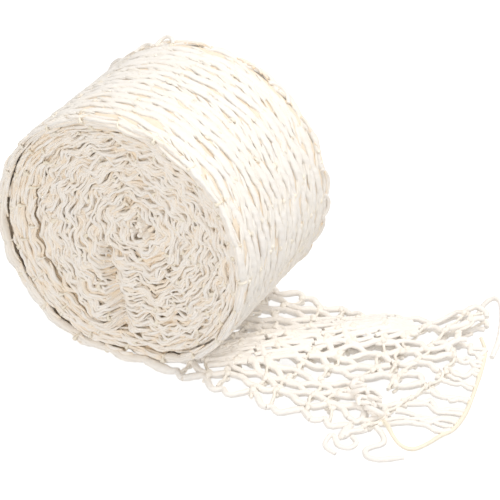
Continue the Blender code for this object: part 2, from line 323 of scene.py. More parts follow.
class Hank:
    """Centre lines of yarn that become one piece."""

    def __init__(self):
        self.lines = []

    def lay(self, points, facing, girth, flat=1.0, tone=0.0, depth=0.0, ivory=0.0):
        count = len(points)
        if count < 2:
            return
        columns = [np.broadcast_to(np.asarray(v, float), (count,))
                   for v in (girth, flat, tone, depth, ivory)]
        facing = np.broadcast_to(np.asarray(facing, float), (count, 3))
        self.lines.append((np.asarray(points, float), facing, columns))

    def spin(self, name, material=NET_COTTON, sides=6, lump=0.30, lump_size=900.0, seed=1.0):
        counts = [len(points) for points, _, _ in self.lines]
        points = np.concatenate([line[0] for line in self.lines])
        edges = np.stack([np.arange(len(points) - 1), np.arange(1, len(points))], axis=1)
        edges = np.delete(edges, np.cumsum(counts)[:-1] - 1, axis=0)
        mesh = bpy.data.meshes.new(name + "_lines")
        mesh.from_pydata(points, edges, [])
        values = np.concatenate([np.stack(line[2]) for line in self.lines], axis=1)
        for what, row in zip(("girth", "flat", "tone", "depth", "ivory"), values):
            mesh.attributes.new(what, "FLOAT", "POINT").data.foreach_set("value", row)
        strand = np.repeat(np.arange(len(counts)), counts)
        mesh.attributes.new("strand", "FLOAT", "POINT").data.foreach_set(
            "value", strand.astype(float))
        mesh.attributes.new("facing", "FLOAT_VECTOR", "POINT").data.foreach_set(
            "vector", np.concatenate([line[1] for line in self.lines]).ravel())
        source = bpy.data.objects.new(name + "_lines", mesh)
        bpy.context.scene.collection.objects.link(source)
        modifier = source.modifiers.new("yarn", "NODES")
        modifier.node_group = YARN_TREE
        for what, value in (("Sides", sides), ("Lump size", lump_size),
                            ("Lump height", lump), ("Seed", seed), ("Cotton", material)):
            modifier[YARN_KEYS[what]] = value
        depsgraph = bpy.context.evaluated_depsgraph_get()
        made = bpy.data.meshes.new_from_object(
            source.evaluated_get(depsgraph), preserve_all_data_layers=True, depsgraph=depsgraph)
        bpy.data.objects.remove(source)
        made.name = name
        self.unroll(made, values[0], counts)
        piece = bpy.data.objects.new(name, made)
        bpy.context.scene.collection.objects.link(piece)
        made.calc_loop_triangles()
        print(f"{name}: {len(counts)} strands, {len(made.loop_triangles)} triangles")
        return piece

    @staticmethod
    def unroll(mesh, girth, counts):
        read = {}
        for what in ("along", "around", "strand"):
            read[what] = np.zeros(len(mesh.vertices), np.float32)
            mesh.attributes[what].data.foreach_get("value", read[what])
        point, turns = corner_turns(mesh, read["around"])
        along = read["along"][point]
        index = np.rint(read["strand"]).astype(int)
        lengths = np.zeros(len(counts))
        np.maximum.at(lengths, index, read["along"])
        first = np.append(0, np.cumsum(counts)[:-1])
        heights = 2 * math.pi * np.maximum.reduceat(girth, first) * 0.8
        corners, side = strips(lengths + 1e-5, heights + 0.0004)
        strand = index[point]
        own = np.stack([along, turns], axis=1)
        laid = corners[strand] + np.stack([along, turns * heights[strand] * 0.98], axis=1)
        for what, uv in (("OFBake", laid / (side * 1.002)), ("strand_uv", own)):
            layer = mesh.uv_layers.new(name=what)
            layer.data.foreach_set("uv", uv.astype(np.float32).ravel())
        for what in ("along", "around", "strand", "centre", "facing", "girth", "flat"):
            mesh.attributes.remove(mesh.attributes[what])


# %% [markdown]
# ## Where the band lies
# The band's own coordinates are `run`, metres along it, counted from the line where it leaves the
# roll: up into the roll it grows and out towards the mouth it falls below zero. `share` goes
# across it from the front edge, 0, to the back edge, 1, and `sunk` is how deep a strand lies
# below the band's outer side. In the roll the band follows the CAD's spiral with its flat foot.
# %% The rule of the band
ROLL_RADIUS, WAD_RADIUS, CLEARANCE = 0.052, 0.0045, 0.0003
TURNS, CONTACT = 14, 20.0
PITCH = (ROLL_RADIUS - WAD_RADIUS) / (TURNS + 1)
BAND = PITCH - CLEARANCE
AXIS_HEIGHT = ROLL_RADIUS * math.cos(math.radians(CONTACT))
TAIL_START = ROLL_RADIUS * math.sin(math.radians(CONTACT))
FRONT, BACK = -0.032, 0.032
ROLL_WIDTH = BACK - FRONT
FLARE, FLARE_LEAD = 0.58, 0.014      # how much the far side spreads, and how far before the mouth
MOUTH_START, LAYERS_START = TAIL_START + 0.068, TAIL_START + 0.0725
NEAR_REACH, FAR_REACH = 0.0018, 0.0198


def ease(value):
    value = np.clip(value, 0.0, 1.0)
    return value * value * (3 - 2 * value)


def spiral(wraps):
    """Outside radius and angle from straight down, after that many wraps from the tail."""
    turn = np.floor(np.clip(wraps, 0, TURNS + 0.9999))
    degrees = -CONTACT + 360 * (wraps - turn)
    inward = np.clip((degrees - CONTACT) / (360 - 2 * CONTACT), 0, 1)
    angle = np.radians(degrees)
    radius = WAD_RADIUS + CLEARANCE + PITCH * (TURNS - turn - inward) + BAND
    return radius, angle, np.abs(degrees) < CONTACT


def roll_place(wraps, y, sunk):
    radius, angle, pressed = spiral(wraps)
    radius = radius - sunk
    radius = np.where(pressed, radius * math.cos(math.radians(CONTACT)) / np.cos(angle), radius)
    facing = np.stack([-np.sin(angle), 0 * angle, -np.cos(angle)], axis=1)
    x, z = -radius * np.sin(angle), AXIS_HEIGHT - radius * np.cos(angle)
    return np.stack([x, y + 0 * x, z], axis=1), facing


WRAPS = np.linspace(0, TURNS + 0.98, 12000)
MIDDLE_LINE = roll_place(WRAPS, 0.0, BAND / 2)[0]
RUN_AT = np.append(0, np.cumsum(np.linalg.norm(np.diff(MIDDLE_LINE, axis=0), axis=1)))
print(f"band in the roll: {RUN_AT[-1]:.3f} m")


def run_of(wraps):
    return float(np.interp(wraps, WRAPS, RUN_AT))


def calm_wraps(run):
    """How many wraps lie smooth, counted from outside: more on the left, where it is loose."""
    wraps = np.interp(run, RUN_AT, WRAPS)
    angle = np.radians(360 * (wraps - np.floor(wraps)) - CONTACT)
    return wraps, 1.75 + 2.1 * ease((np.sin(angle + 0.35) - 0.1) / 0.75)


def far_side(x):
    """Y of the free end's back edge."""
    return BACK + FLARE * np.maximum(x - (MOUTH_START - FLARE_LEAD), 0)


def edges_at(run):
    """Y of the band's front and back edges: the smooth outer wraps stand proud of the face."""
    wraps, calm = calm_wraps(run)
    front = FRONT + 0.0018 * ease((wraps - 0.93) / 0.1) + 0.0027 * ease((wraps - calm) / 0.35)
    return front, far_side(TAIL_START - np.minimum(run, 0))


# %% [markdown]
# ## The free end
# On the table the band lies flat, with one gathered fold that crosses it slantwise, and its far
# side spreads near the mouth. Past the line where the layers come apart the rows fan out from the
# near corner, so the far side reaches further.
# %% The rule of the free end
RIDGE_START = np.array((TAIL_START + 0.009, -0.022))
RIDGE_END = np.array((MOUTH_START + 0.001, 0.036))
RIDGE_HEIGHT, RIDGE_SPREAD, RIDGE_FADE = 0.0040, 0.010, 0.012


def ridge(x, y):
    way = RIDGE_END - RIDGE_START
    length = np.linalg.norm(way)
    way = way / length
    dx, dy = x - RIDGE_START[0], y - RIDGE_START[1]
    distance, side = dx * way[0] + dy * way[1], -dx * way[1] + dy * way[0]
    fade = ease(distance / (2.6 * RIDGE_FADE)) * ease((length - distance) / RIDGE_FADE)
    return RIDGE_HEIGHT * fade * np.exp(-((side / RIDGE_SPREAD) ** 2))


def far_lift(x, y):
    far_corner = BACK + FLARE * (LAYERS_START + FAR_REACH - MOUTH_START + FLARE_LEAD)
    return 0.0045 * ease((y - 0.012) / (far_corner - 0.012)) * ease((x - LAYERS_START) / 0.014)


def tail_place(run, share, sunk, upper):
    x = TAIL_START - run
    reach = NEAR_REACH + (FAR_REACH - NEAR_REACH) * np.sqrt(np.clip(share, 0, 1))
    past = np.maximum(x - LAYERS_START, 0)
    x = np.minimum(x, LAYERS_START) + past * reach / FAR_REACH
    y = FRONT + (far_side(x) - FRONT) * share
    lift = ridge(x, y) * ease((sunk - 0.0007) / 0.0012)
    if upper:
        lift = lift + far_lift(x, y)
    facing = np.stack([0 * x, 0 * x, -np.ones_like(x)], axis=1)
    return np.stack([x, y, sunk + lift], axis=1), facing


def band_place(run, share, sunk, upper=False):
    run, share, sunk = np.broadcast_arrays(*(np.asarray(v, float) for v in (run, share, sunk)))
    front, back = edges_at(run)
    y = front + (back - front) * share
    wound, wound_facing = roll_place(np.interp(run, RUN_AT, WRAPS), y, sunk)
    loose, loose_facing = tail_place(run, share, sunk, upper)
    inside = (run >= 0)[:, None]
    points = np.where(inside, wound, loose)
    return points, np.where(inside, wound_facing, loose_facing)


# %% [markdown]
# ## Chance that repeats
# Nothing in a hand-wound net is regular, so strands wander. `wander` is smooth noise along the
# band from a fixed seed: the same strand asked twice gives the same path, so two pieces that
# meet at a bending line meet strand by strand.
# %% Wandering


def wander(run, seed, wave):
    """Smooth noise from -1 to 1 along the band, with about that wavelength in metres."""
    table = np.random.default_rng(seed).uniform(-1, 1, 4096)
    place = np.asarray(run, float) / wave + 400
    low = np.floor(place).astype(int)
    share = ease(place - low)
    return table[low % 4096] * (1 - share) + table[(low + 1) % 4096] * share


def ring_rows():
    """Runs at which a thread rings the tube: closer on the free end, where the net has relaxed."""
    outwards = [-0.0045, -0.0142, -0.0241, -0.0340, -0.0443,
                -0.0540, -0.0637, -0.0730, -0.0826, -0.0923]
    inwards, run = [], 0.0080
    jitter = np.random.default_rng(41).uniform(-0.0011, 0.0011, 400)
    while run < RUN_AT[-1] + 0.03:
        inwards.append(run + jitter[len(inwards)])
        run += 0.0150
    return np.array(outwards[::-1] + inwards)


RINGS = ring_rows()


def phase_at(run, lag=0.0):
    """0 at a ring thread, 1 at the next."""
    run = run + lag
    index = np.clip(np.searchsorted(RINGS, run, "right") - 1, 0, len(RINGS) - 2)
    return np.clip((run - RINGS[index]) / (RINGS[index + 1] - RINGS[index]), 0, 1), index


print(len(RINGS), "ring threads")

# %% [markdown]
# ## The net's strands
# Eight pairs of strands run along each layer. The ring thread ties each pair together at every
# row; between two rows the pair opens. In the tight roll the strands lie side by side and touch,
# on the free end they close up into pairs with open cells between them.
# %% Strands of the net
COLUMNS = 8
OUTER, INNER = 0, 1                    # the layer that faces out of the roll, and the other
STRAND = 0.00185


def looseness(run):
    """0 in the roll, 1 on the free end."""
    return ease((0.006 - run) / 0.012)


def lag_of(run, column):
    """How far a column's ties are out of step with the ring thread."""
    return (0.0026 - 0.0020 * looseness(run)) * wander(run, 1005 + column * 8, 0.05)


def strand_line(run, column, member, layer):
    """Share across, depth, girth and flatness of one strand of a pair. At every second ring it is
    tied to its partner, and at the rings between them to the strand of the next column."""
    seed = 1000 + layer * 400 + column * 8 + (member + 1) * 2
    near = 1000 + column * 8                        # both layers share the loose end's wander
    loose = looseness(run)
    phase, row = phase_at(run, lag_of(run, column))
    belly = np.sin(math.pi * phase)
    crossed = ease((phase - 0.5) * (1.3 + 0.6 * loose) + 0.5)
    crossed = np.where(row % 2 == 0, crossed, 1 - crossed)
    tied = 0.00165 * (1 - loose) + 0.00050 * loose
    opened = tied + (ROLL_WIDTH / 2 / COLUMNS - 2 * tied) * crossed
    sway = 0.00085 * wander(run, seed, 0.013) + 0.00050 * wander(run, seed + 1, 0.0055)
    sway = sway + 0.00034 * wander(run, seed + 9, 0.0029)
    shared = (0.00070 * wander(run, near + 20 + member, 0.012)
              + 0.00045 * wander(run, near + 23 + member, 0.0048)
              + (0.0004 if layer == OUTER else -0.0004))
    sway = sway * (1 - loose) + shared * loose
    drift = ((0.0024 * wander(run, near + 3, 0.021) + 0.0009 * wander(run, near + 7, 0.009)) * loose
             + 0.0007 * wander(run, near + 4, 0.03))
    share = (column + 0.5) / COLUMNS + (member * opened + sway + drift) / ROLL_WIDTH
    level = 0.00056 + 0.00024 * loose
    sunk = ((level if layer == OUTER else BAND - level) + 0.00020 * wander(run, seed + 300, 0.007)
            + 0.00016 * wander(run, seed + 301, 0.0031))
    rise = 0.00020 * belly * (1 if layer == OUTER else -1)
    girth = STRAND * (1 + (0.24 - 0.06 * loose) * wander(run, seed + 500, 0.006))
    girth = girth * (0.90 + 0.14 * belly)
    girth = girth * (1 - 0.34 * loose)
    return share, sunk - rise * (1 - loose), girth, 0.42 + 0.42 * loose


def samples(start, end, step):
    return np.linspace(start, end, max(int(abs(end - start) / step), 2) + 1)


def on_table(points, clearance):
    points[:, 2] = np.maximum(points[:, 2], clearance)
    return points


def lay_strand(hank, start, end, column, member, layer, step=0.0016, upper=False, depth=0.0):
    run = samples(start, end, step)
    share, sunk, girth, flat = strand_line(run, column, member, layer)
    edge = (column == 0 and member < 0) or (column == COLUMNS - 1 and member > 0)
    if edge:                               # the folded edge hangs out in scallops between rows
        phase, _ = phase_at(run)
        loose = looseness(run)
        out = (0.0013 + 0.0019 * loose) * np.sin(math.pi * phase) ** 0.8
        if member > 0:
            out = out + 0.0022 * np.sin(math.pi * phase) * (1 - loose) * wander(run, 91, 0.02) ** 2
        share = share + member * (out + 0.0006) / ROLL_WIDTH
        sunk = sunk + (BAND / 2 - sunk) * 0.45
    points, facing = band_place(run, share, sunk, upper)
    # The lower layer in the roll lies under the upper one, so it is painted in shade: little at the
    # folded edges, more between them.
    if layer == INNER and start >= 0:
        depth = 0.10 if column in (0, COLUMNS - 1) else 0.55
    tone = (0.5 + 0.5 * wander(run, 77 + column * 5 + member, 0.03)) * (1 - 0.85 * looseness(run))
    hank.lay(on_table(points, girth * flat * 0.9), facing, girth, flat, tone, depth)


def lay_ring(hank, row, layer, columns=range(COLUMNS), upper=False):
    """The thin thread that crosses one layer, and the tie at each pair of strands."""
    low, high = (min(columns) + 0.0) / COLUMNS, (max(columns) + 1.0) / COLUMNS
    share = np.linspace(low, high, int((high - low) * 62) + 2)
    slack_row = 1.0 + 1.3 * float(looseness(RINGS[row]))
    run = RINGS[row] + slack_row * (0.0020 * wander(share, 3000 + row, 0.20)
                                    + 0.00075 * wander(share, 3500 + row, 0.05))
    odd = row % 2
    tied = np.cos(2 * math.pi * (share * COLUMNS - 0.5 * odd)) * -0.5 + 0.5       # 1 at a pair
    sunk = 0.0012 - 0.0012 * tied * (0.55 + 0.45 * float(looseness(RINGS[row])))
    sunk = sunk if layer == OUTER else BAND - sunk
    fold = np.minimum(share, 1 - share) * COLUMNS
    sunk = sunk + (BAND / 2 - sunk) * ease(1 - fold * 3)
    points, facing = band_place(run, share, sunk, upper)
    loose = float(looseness(RINGS[row]))
    hank.lay(on_table(points, 0.0005), facing, 0.00042 + 0.00016 * loose, 1.0,
             0.5 - 0.4 * loose, 0.0, 0.8 - 0.5 * loose)
    chance = np.random.default_rng(9000 + row * 2 + layer)
    for column in columns:
        for member in (-1, 1):
            middle = ((column + 0.5 + 0.5 * odd) / COLUMNS
                      + member * chance.uniform(0.0006, 0.0012) / ROLL_WIDTH)
            long = chance.uniform(0.0008, 0.0013)
            here = float(np.interp(middle, share, run)) + chance.uniform(-0.0008, 0.0008)
            here -= float(lag_of(here, column))
            small = 1.0 if loose > 0.5 or chance.uniform() < 0.35 else 0.72
            run_of_tie = np.linspace(here - long, here + long, 5)
            slant = chance.uniform(-0.0007, 0.0007)
            top = 0.0001 if layer == OUTER else BAND - 0.0001
            across = middle + np.linspace(-slant, slant, 5) / ROLL_WIDTH
            points, facing = band_place(run_of_tie, across, np.full(5, top), upper)
            girth = (np.array([0.3, 0.85, 1.05, 0.85, 0.3]) * chance.uniform(0.00066, 0.00092)
                     * (small + 0.62 * loose))
            if middle < 1.005:
                hank.lay(on_table(points, 0.0004), facing, girth, 0.85, 0.5, 0.0,
                         chance.uniform(0.25, 0.8) * (1 - 0.7 * loose))


def rows_within(start, end):
    return [i for i, run in enumerate(RINGS) if start <= run < end]


# %% [markdown]
# ## The faces of the roll
# Further in, a turn shows only its folded edges. There the strands are slack and fluffy: they
# flop up and down between the ring threads and make the face a spiral of short wavy tufts, with
# warm shadows between them, which are also painted into the tufts' roots and the strands further
# in. So the inner turns get the strands near both edges, a packed core of cloth between them,
# painted in shade, and short arcs of ring thread round the fold.
# %% Folded edges of the inner turns
PACKED_HALF_WIDTH = 0.0212
TUFT_SPACING = {-1: 0.00096, 1: 0.0016}     # closer on the front face


def slack(run):
    """How far a turn's folded edge flops: least in the last two wraps, most inside."""
    wraps, calm = calm_wraps(run)
    return 0.30 + 0.70 * ease((wraps - calm + 0.15) / 0.5)


FACE_SHIFT = np.array((0.0062, 0.0, 0.0072))   # the winding's heart is off the roll's middle
CREASE_TOP, CREASE_FOOT = np.array((-0.0115, 0.0475)), np.array((-0.0040, 0.0125))


def swirl(x, z):
    """Smooth waves in the plane of the face, which all the strands near it share."""
    moved = np.zeros((len(x), 3))
    for height, wave, across, push, lag in (
            (0.00085, 0.0115, 0.5, 1.9, 0.3), (0.00075, 0.0092, 1.7, 0.2, 1.9),
            (0.00050, 0.0068, 2.6, 1.1, 4.0), (0.00042, 0.0052, 0.9, 2.8, 2.2)):
        place = x * math.cos(across) + z * math.sin(across)
        swing = height * np.sin(2 * math.pi / wave * place + lag)
        moved[:, 0] += swing * math.cos(push)
        moved[:, 2] += swing * math.sin(push)
        moved[:, 1] += 0.6 * swing
    return moved


def face_shape(points, inset, side):
    """The roll as it was squeezed: its heart shifted, and in front a flap folded over a crease.
    The shift is the same at every depth, so that the windings still slide."""
    x, z = points[:, 0], points[:, 2] - AXIS_HEIGHT
    spread = np.clip(1 - (x * x + z * z) / 0.044 ** 2, 0, 1)
    if side >= 0:
        return points + FACE_SHIFT * spread[:, None]
    near = ease(1 - inset / 0.012)
    near = np.broadcast_to(near, x.shape)
    points = (points + FACE_SHIFT * spread[:, None]
              + swirl(x, z) * (near * np.clip(3 * spread, 0, 1))[:, None])
    way = CREASE_FOOT - CREASE_TOP
    length = np.linalg.norm(way)
    way = way / length
    dx, dz = points[:, 0] - CREASE_TOP[0], points[:, 2] - CREASE_TOP[1]
    down, right = (dx * way[0] + dz * way[1]) / length, -(dx * way[1] - dz * way[0])
    ends = ease((down + 0.12) / 0.35) * ease((1.15 - down) / 0.3)
    flap = ease((right + 0.019) / 0.014) * ease(1 - right / 0.0016) * ends
    crease = np.exp(-((right - 0.0028) / 0.0023) ** 2) * ends
    points[:, 1] -= near * (0.0038 * flap - 0.0034 * crease)
    return points


def edge_strand(hank, start, end, side, spot, step):
    """One strand of the folded edge. spot: distance in from the edge, depth in the band, girth."""
    inset, level, girth = spot
    run = samples(start, end, step)
    seed = 6000 + int(side > 0) * 900 + int(inset * 1e5) * 3 + int(level * 1e6)
    front, back = edges_at(run)
    phase, row = phase_at(run, 0.004 * wander(run, seed + 1, 0.05))
    belly = np.sin(math.pi * phase)
    flop = slack(run) * max(1 - inset / 0.006, 0.25)
    swing = np.random.default_rng(seed).uniform(-1, 1, len(RINGS))[row]
    sunk = level + flop * (0.0010 * swing * belly + 0.00075 * wander(run, seed + 2, 0.0046)
                           + 0.00035 * wander(run, seed + 3, 0.0024))
    out = inset - flop * (0.0010 * belly + 0.0010 * wander(run, seed + 4, 0.0060))
    y = np.where(side < 0, front + out, back - out)
    share = (y - front) / (back - front)
    points, facing = band_place(run, share, sunk)
    points = face_shape(points, inset, side)
    facing = facing * (1 - 0.5 * (inset < 0.001)) + np.array([0, 0.5 * (inset < 0.001), 0])
    facing = facing / np.linalg.norm(facing, axis=1)[:, None]
    thick = girth * (1 + 0.22 * wander(run, seed + 5, 0.0050)) * (0.82 + 0.22 * belly)
    tone = 0.5 + 0.5 * wander(run, seed + 6, 0.02)
    # Painted shade: the further in from the folded edge a strand lies, the warmer and darker it is
    # painted.
    depth = 0.30 + min(inset / 0.0040, 1.0) * 0.60
    flat = 0.78 if inset < 0.001 else 1.0 if inset < 0.0025 else 0.66
    hank.lay(points, facing, thick, flat, tone, depth)


def fold_arc(hank, row, side):
    """A ring thread where it goes round the fold, from one layer to the other."""
    chance = np.random.default_rng(12000 + row * 2 + int(side > 0))
    angle = np.linspace(-1.45, 1.45, 7)
    run = RINGS[row] + np.linspace(-1, 1, 7) * chance.uniform(-0.0009, 0.0009)
    front, back = edges_at(run)
    bulge = 0.0010 + chance.uniform(0.0, 0.0009)
    out = 0.0014 - (bulge + 0.0012) * np.cos(angle)
    y = np.where(side < 0, front + out, back - out)
    sunk = BAND / 2 + (BAND / 2 + 0.0001) * np.sin(angle)
    points, facing = band_place(run, (y - front) / (back - front), sunk)
    points = face_shape(points, 0.0, side)
    bead = chance.uniform(1.2, 2.4)
    girth = np.array([0.5, 0.6, 0.7, bead, 0.8, 0.7, 0.5]) * chance.uniform(0.00040, 0.00062)
    hank.lay(points, facing, girth, 1.0, 0.5, 0.0, chance.uniform(0.4, 1.0))


def tuft(hank, start, side, chance):
    """A short slack loop of strand that stands out of the folded edge and flops to one side."""
    t = np.linspace(0, 1, 8)
    rise = np.sin(math.pi * t)
    calm = float(slack(start))
    run = start + chance.uniform(0.0055, 0.0125) * t
    lean = chance.uniform(-1, 1) * 0.0026 * calm
    sunk = (chance.uniform(-0.0002, BAND + 0.0002) + lean * (t - 0.5)
            + chance.uniform(-0.0008, 0.0008) * calm * rise)
    out = 0.0008 - (0.0008 + chance.uniform(0.0, 0.0021) * calm) * rise
    front, back = edges_at(run)
    y = np.where(side < 0, front + out, back - out)
    points, facing = band_place(run, (y - front) / (back - front), sunk)
    points = face_shape(points, 0.0, side)
    girth = chance.uniform(0.00044, 0.00084) * (0.62 + 0.38 * rise)
    # Colour: a little random warmth, and painted shade that grows towards the tuft's roots in the
    # face.
    depth = chance.uniform(0.0, 0.16) + 0.58 * (1 - rise) ** 1.4
    hank.lay(points, facing, girth, 0.9, chance.uniform(0, 0.6), depth)


EDGE_SPOTS = [(0.0004, 0.00143, 0.00072), (0.0020, 0.00143, 0.00138),
              (0.0009, 0.00050, 0.00068), (0.0010, 0.00235, 0.00068),
              (0.0029, 0.00075, 0.00120), (0.0031, 0.00215, 0.00115),
              (0.0054, 0.00075, 0.00130), (0.0056, 0.00215, 0.00130),
              (0.0083, 0.00080, 0.00170), (0.0085, 0.00210, 0.00170)]


def edge_net(name, first, last, sides=(-1, 1), seed=3.0, packed=True):
    """The folded edges of the band between two numbers of wraps."""
    hank = Hank()
    start, end = run_of(first), run_of(last)
    for side in sides:
        for spot in EDGE_SPOTS:
            near = spot[0] < 0.0015
            edge_strand(hank, start, end, side, spot, 0.00125 if near else 0.0026)
        for row in rows_within(start, end):
            fold_arc(hank, row, side)
        chance = np.random.default_rng(int(first * 100) + 17 * side + 400)
        for at in np.arange(start, end - 0.013, TUFT_SPACING[side]):
            if chance.uniform() < 0.3 + 0.7 * slack(at):
                tuft(hank, at + chance.uniform(0, TUFT_SPACING[side]), side, chance)
    if packed:
        run = samples(start, end, 0.003)
        for level in (0.00072, 0.00214):
            points, facing = band_place(run, 0.5 + 0 * run, level + 0 * run)
            points[:, 1] = 0.0015
            points = face_shape(points, 0.02, 0)
            # The packed core lies deep between the edges and is painted almost all in shade.
            hank.lay(points, facing, PACKED_HALF_WIDTH, 0.030, 0.5, 0.9)
    return hank.spin(name, seed=seed, lump=0.42, lump_size=1300.0)


def node_names(first, last):
    return [f"winding_turn_{n:02d}" for n in range(first, last + 1)]


RIM_FRONT = edge_net("outer_turns_front", 1.0, 5.0, (-1,), 3.0)
RIM_BACK = edge_net("outer_turns_back", 1.0, 5.0, (1,), 4.0, packed=False)
for piece in (RIM_FRONT, RIM_BACK):
    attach(piece, "roll")
    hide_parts(*node_names(10, 13))

# %% [markdown]
# ## The outermost wrap
# The roll's outside is one full turn of the band, both layers, and it is the only place in the
# roll where the whole net is seen. It ends on the table where the first bending line's own piece
# takes over, strand by strand. Its lower layer shows only in slits, so broad felted strips do for
# it. Real loose yarn doesn't lie in neat rows, so short slack loops are strewn over the outside.
# %% The outermost wrap
WRAP_START = 0.009                       # from here outwards the net bends at the tail's hinge


def outer_wrap():
    hank = Hank()
    start, end = WRAP_START, run_of(1.0)
    for column in range(COLUMNS):
        at_edge = column in (0, COLUMNS - 1)
        for member in (-1, 1):
            lay_strand(hank, start, end, column, member, OUTER, step=0.0013)
            lay_strand(hank, start, end if at_edge else 0.022, column, member, INNER, step=0.0026)
    for row in rows_within(start, end):
        lay_ring(hank, row, OUTER)
    for strip in range(6):                 # the lower layer, as the felted cloth that it looks like
        run = samples(0.018, end, 0.003)
        points, facing = band_place(run, 0.5 + (strip - 2.5) * 0.158, 0.00080)
        # It shows only in the slits between the upper strands, so it is painted in shade.
        hank.lay(points, facing, 0.0054, 0.080, 0.5, 0.55)
    for side in (-1, 1):
        chance = np.random.default_rng(77 + side)
        for row in rows_within(start, end):
            fold_arc(hank, row, side)
        for at in np.arange(start, end - 0.014, 0.0022):
            tuft(hank, at, side, chance)
    return hank.spin("outer_wrap_net", lump=0.6, seed=2.0)


SLUB_SLANT = 0.38                        # the loops lie askew, towards the front as the run grows


def slubs():
    """Short slack loops of the fluffy strands that lie on the outside of the roll."""
    hank = Hank()
    chance = np.random.default_rng(606)
    t = np.linspace(0, 1, 6)
    for _ in range(1300):
        first = chance.uniform(0.030, run_of(1.0) - 0.021)
        run = first + chance.uniform(0.0040, 0.0105) * t
        share = (chance.uniform(0.03, 0.97) - SLUB_SLANT * (run - first) / ROLL_WIDTH
                 + chance.uniform(-0.0005, 0.0005) / ROLL_WIDTH * np.sin(math.pi * t))
        share = np.clip(share, 0.012, 0.988)
        points, facing = band_place(run, share, chance.uniform(0.0001, 0.0006))
        girth = chance.uniform(0.00065, 0.00112) * (0.30 + 0.70 * np.sin(math.pi * t) ** 0.6)
        hank.lay(points, facing, girth, 0.55, chance.uniform(0, 1), 0.0, chance.uniform(0, 0.3))
    for _ in range(16):                    # slack loops that stand off the back edge
        t = np.linspace(0, 1, 12)
        run = chance.uniform(0.045, run_of(1.0) - 0.03) + chance.uniform(0.007, 0.013) * t
        rise = np.sin(math.pi * t) ** 0.7
        share = 0.972 + chance.uniform(0.0016, 0.0040) / ROLL_WIDTH * rise
        points, facing = band_place(run, share, 0.0004 - chance.uniform(0.0004, 0.0020) * rise)
        hank.lay(points, facing, 0.00085, 0.9, 0.2)
    return hank.spin("outer_wrap_slubs", lump=0.7, seed=2.5)


OUTER_WRAP = outer_wrap()
SLUBS = slubs()
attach(SLUBS, "roll")
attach(OUTER_WRAP, "roll")
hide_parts("winding_turn_14")

# %% [markdown]
# ## The inner windings push out
# The roll telescopes: the middle, inner and core windings each slide a few millimetres along the
# axis. The band is one piece of cloth across those joints, so the first half turn of each inner
# winding is a piece of its own, apart from the rest, which follows its winding's body.
# %% Inner windings
HALF_TURN = 200 / 360


def winding(name, shear_name, body, first, last, nodes, seed):
    shear = edge_net(shear_name, first, first + HALF_TURN, seed=seed)
    rest = edge_net(name, first + HALF_TURN, last, seed=seed + 0.5)
    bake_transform(shear)
    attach(rest, body)
    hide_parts(nodes[-1])
    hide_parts(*nodes)
    return shear, rest


MIDDLE = winding("middle_turns", "middle_first_half", "middle_winding", 5.0, 9.0,
                 node_names(6, 9), 5.0)
INNER_TURNS = winding("inner_turns", "inner_first_half", "inner_winding",
                      9.0, 12.0, node_names(3, 5), 6.0)
CORE = winding("core_turns", "core_first_half", "core_winding", 12.0, 14.9,
               node_names(1, 2), 7.0)
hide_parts("core_wad")


def core_plug():
    """The crumpled start of the band: a fat twist of net in the middle of the roll."""
    hank = Hank()
    chance = np.random.default_rng(5)
    for index in range(7):
        angle = index * 2.4
        radius = 0.0004 + 0.0031 * math.sqrt(index / 7)
        y = np.linspace(FRONT + 0.0018, BACK - 0.0006, 30)
        twist = angle + 60 * (y - y[0]) + 0.4 * wander(y, 50 + index, 0.006)
        points = np.stack([radius * np.cos(twist), y + chance.uniform(-0.0008, 0.0008),
                           AXIS_HEIGHT + radius * np.sin(twist)], axis=1)
        points = points + FACE_SHIFT
        girth = 0.0020 * (1 - 0.6 * np.abs(np.linspace(-1, 1, 30)) ** 14)
        # A little painted shade, for the heart of the roll.
        hank.lay(points, (1, 0, 0), girth, 0.9, 0.5, 0.15)
    return hank.spin("core_twist", lump=0.42, lump_size=1300.0, seed=8.0)


CORE_TWIST = core_plug()
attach(CORE_TWIST, "core_winding")

# %% [markdown]
# ## The free end on the table
# Five pieces of net lie end to end, one across each bending line. Two pieces meet in the middle
# of a segment, and their strands have the same paths there.
# %% The tail
TAIL_SEGMENT = 0.017                     # from one bending line to the next
HINGES = [TAIL_START + TAIL_SEGMENT * n for n in range(5)]


def run_at_x(x):
    return TAIL_START - x


def gathered_fold(hank, x_start, x_end):
    """Extra strands of the gathered net, which run along the fold and fill it."""
    way = (RIDGE_END - RIDGE_START) / np.linalg.norm(RIDGE_END - RIDGE_START)
    length = np.linalg.norm(RIDGE_END - RIDGE_START)
    across = np.array((-way[1], way[0]))
    for index in range(10):
        side = (index - 4.5) * 0.0019
        t = np.linspace(0.02, 1.0, 70) * length
        off = side + 0.0017 * wander(t, 700 + index, 0.015) + 0.0008 * wander(t, 730 + index, 0.006)
        off = off * (0.55 + 0.45 * np.sin(math.pi * t / length))
        x = RIDGE_START[0] + way[0] * t + across[0] * off
        y = RIDGE_START[1] + way[1] * t + across[1] * off
        z = 0.0024 + ridge(x, y) * 0.93 + 0.00035 * wander(t, 760 + index, 0.009)
        keep = (x >= x_start - 1e-9) & (x <= x_end + 1e-9)
        if keep.sum() < 3:
            continue
        girth = 0.00112 * (1 + 0.2 * wander(t, 790 + index, 0.008))
        points = np.stack([x, y, z], axis=1)[keep]
        hank.lay(points, (0, 0, 1), girth[keep], 0.75, 0.0, 0.0)


